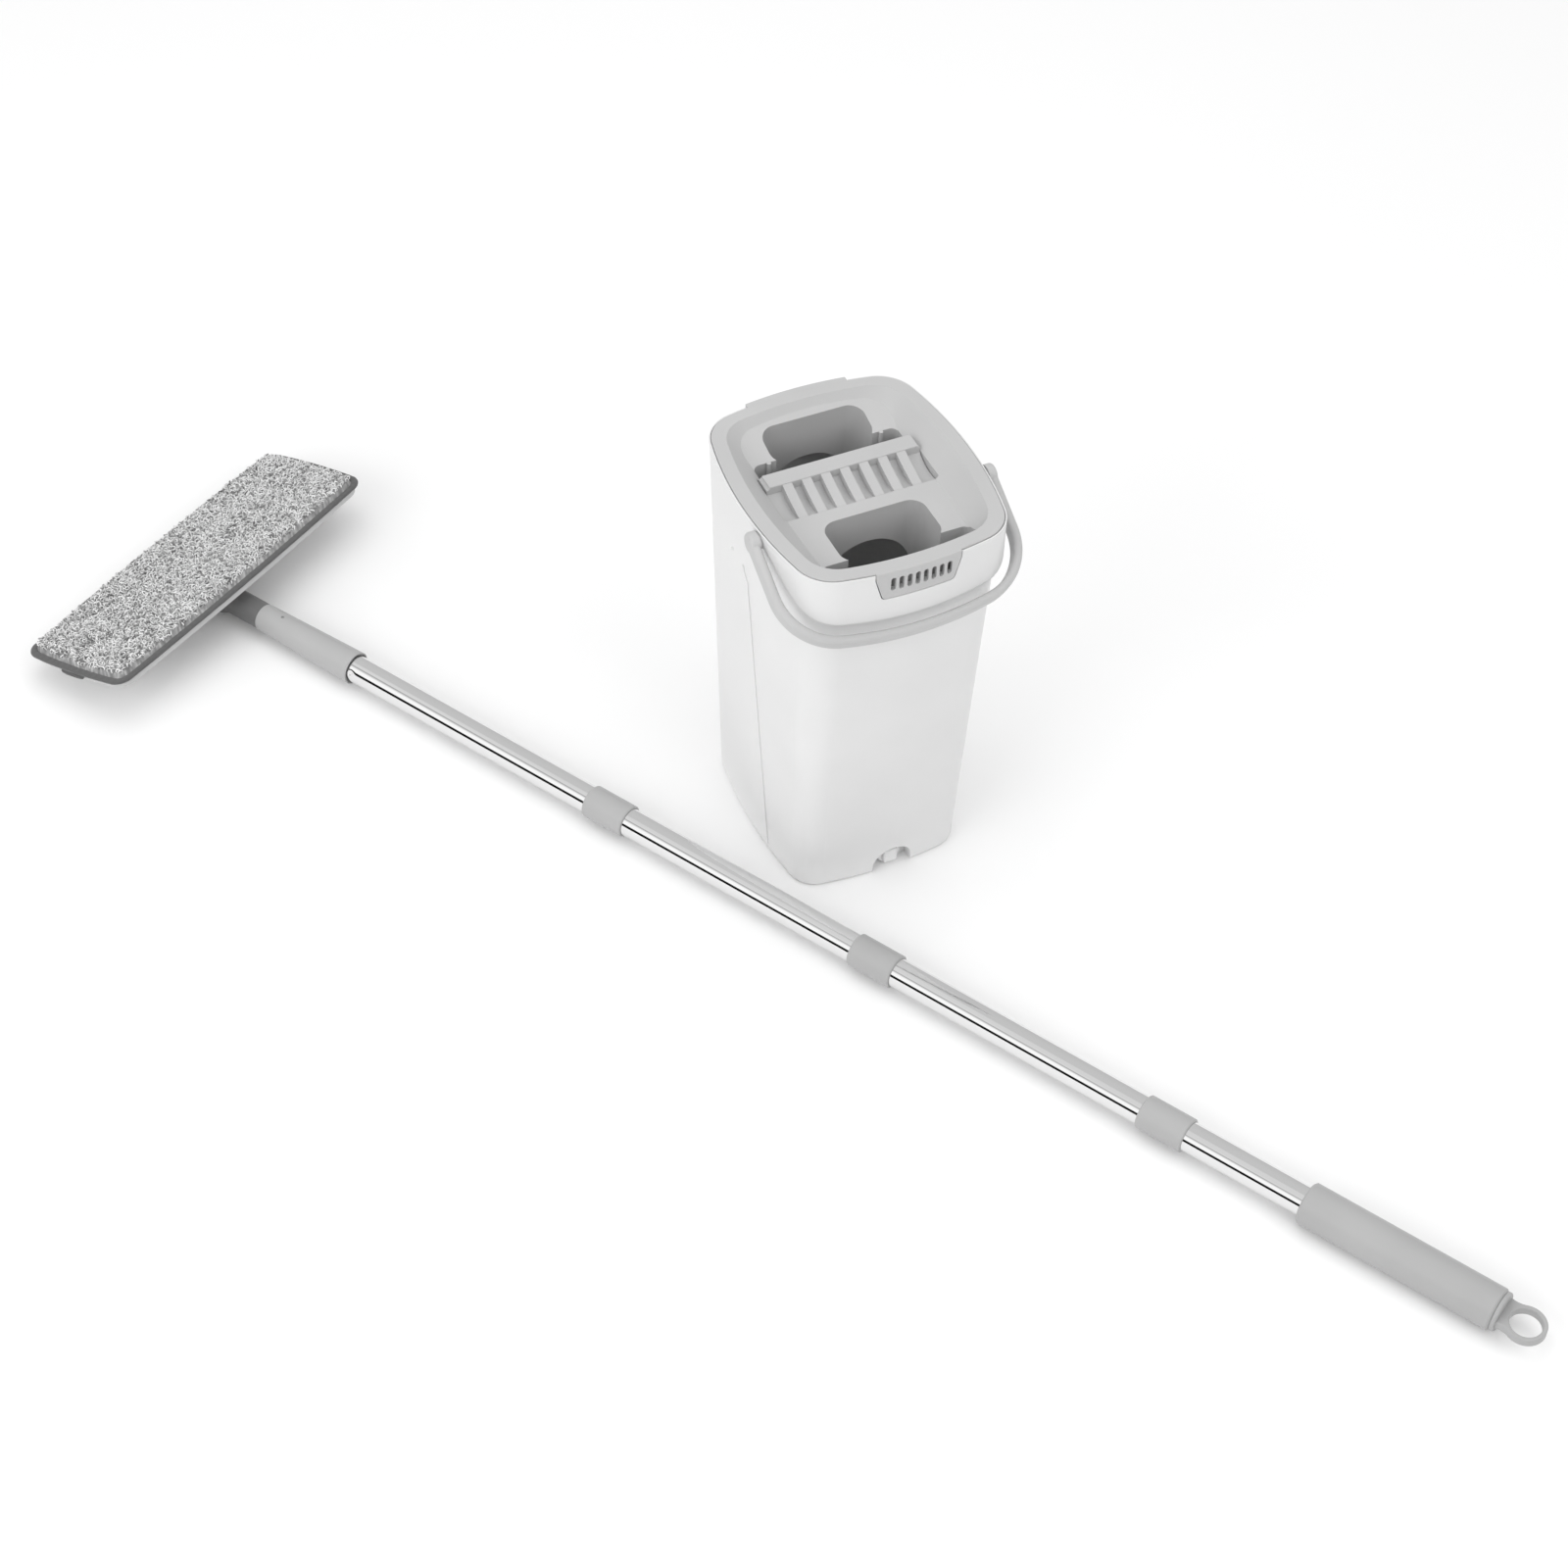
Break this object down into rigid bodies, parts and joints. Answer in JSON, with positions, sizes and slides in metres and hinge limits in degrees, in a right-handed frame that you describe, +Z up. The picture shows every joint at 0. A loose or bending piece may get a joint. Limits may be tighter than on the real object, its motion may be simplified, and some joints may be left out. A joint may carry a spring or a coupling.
{
  "type": "mop and bucket with wringer",
  "caption": "Flat mop with jointed head and screw-together pole, beside a tall two-slot bucket with lift-out scraper insert, carry bail and drain plug.",
  "frame": {"origin": "on the floor under the middle of the bucket's lid", "axes": "+Z up, +X the bucket's right, -Y its front"},
  "size_m": [0.8323, 1.313, 0.37],
  "materials": {
    "bucket_shell": "white moulded, satin",
    "grey_insert": "light grey moulded, satin",
    "grey_trim": "light grey moulded, satin",
    "grey_fitting": "mid grey moulded, satin",
    "dark_fitting": "dark grey moulded",
    "chrome_tube": "polished steel tube",
    "steel": "plain steel",
    "seal": "soft black",
    "hook_tape": "hook tape",
    "pad_cloth": "dark woven",
    "pad_pile": "mottled microfibre loops"
  },
  "bodies": {
    "bucket": {"bucket_body": "bucket_shell"},
    "plug": {"drain_plug": "bucket_shell", "plug_seal": "seal"},
    "handle": {"carry_handle": "grey_trim"},
    "insert": {"wringer_insert": "grey_insert", "wash_hinge_rod": "steel", "dry_hinge_rod": "steel", "wash_springs": "steel", "dry_springs": "steel"},
    "wash_comb": {"wash_scraper": "grey_insert"},
    "dry_comb": {"dry_scraper": "grey_insert"},
    "mop": {"pole_section_1": "chrome_tube", "pole_section_2": "chrome_tube", "pole_section_3": "chrome_tube", "pole_section_4": "chrome_tube", "pole_collar_1": "grey_fitting", "pole_collar_2": "grey_fitting", "pole_collar_3": "grey_fitting", "pole_screw_joint_1": "dark_fitting", "pole_screw_joint_2": "dark_fitting", "pole_screw_joint_3": "dark_fitting", "pole_grip": "grey_fitting", "hang_ring": "grey_fitting", "neck_sleeve": "grey_fitting", "neck_pin": "steel", "neck_fork": "dark_fitting", "swing_pin": "steel"},
    "mop_knuckle": {"knuckle": "dark_fitting"},
    "mop_head": {"tilt_pin": "steel", "plate_bracket": "dark_fitting", "bracket_screws": "steel", "head_plate": "grey_fitting", "hook_strips": "hook_tape", "pad_backing": "pad_cloth", "pad_binding": "pad_cloth", "pad_fleece": "pad_pile"}
  },
  "joints": [
    {"name": "handle_swing", "type": "hinge", "parent": "bucket", "child": "handle", "pos_m": [0, -0.03, 0.3595], "axis": [-1, 0, 0], "range_deg": [0, 192]},
    {"name": "insert_lift", "type": "slide", "parent": "bucket", "child": "insert", "axis": [0, 0, -1], "range_m": [-0.09, 0]},
    {"name": "wash_scraper_tilt", "type": "hinge", "parent": "insert", "child": "wash_comb", "pos_m": [0, -0.005, 0.343], "axis": [1, 0, 0], "range_deg": [-6, 0], "stiffness_Nm_per_rad": 3, "springref_deg": 1.72, "deforming": ["wash_springs"]},
    {"name": "dry_scraper_tilt", "type": "hinge", "parent": "insert", "child": "dry_comb", "pos_m": [0, -0.0955, 0.346], "axis": [1, 0, 0], "range_deg": [0, 4], "stiffness_Nm_per_rad": 1.5, "springref_deg": -1.72, "deforming": ["dry_springs"]},
    {"name": "plug_pull", "type": "slide", "parent": "bucket", "child": "plug", "axis": [0, -1, 0], "range_m": [0, 0.03]},
    {"name": "mop_lift", "type": "slide", "parent": "bucket", "child": "mop", "axis": [-0.437, -0.243, 0.866], "range_m": [0, 0.4]},
    {"name": "head_swing", "type": "hinge", "parent": "mop", "child": "mop_knuckle", "pos_m": [-0.40754, 0.4427, 0.0176], "axis": [0, 0, 1], "range_deg": [-88, 88]},
    {"name": "head_tilt", "type": "hinge", "parent": "mop_knuckle", "child": "mop_head", "pos_m": [-0.42022, 0.46308, 0.0176], "axis": [0.8491, 0.5283, 0], "range_deg": [-164, 6]}
  ]
}
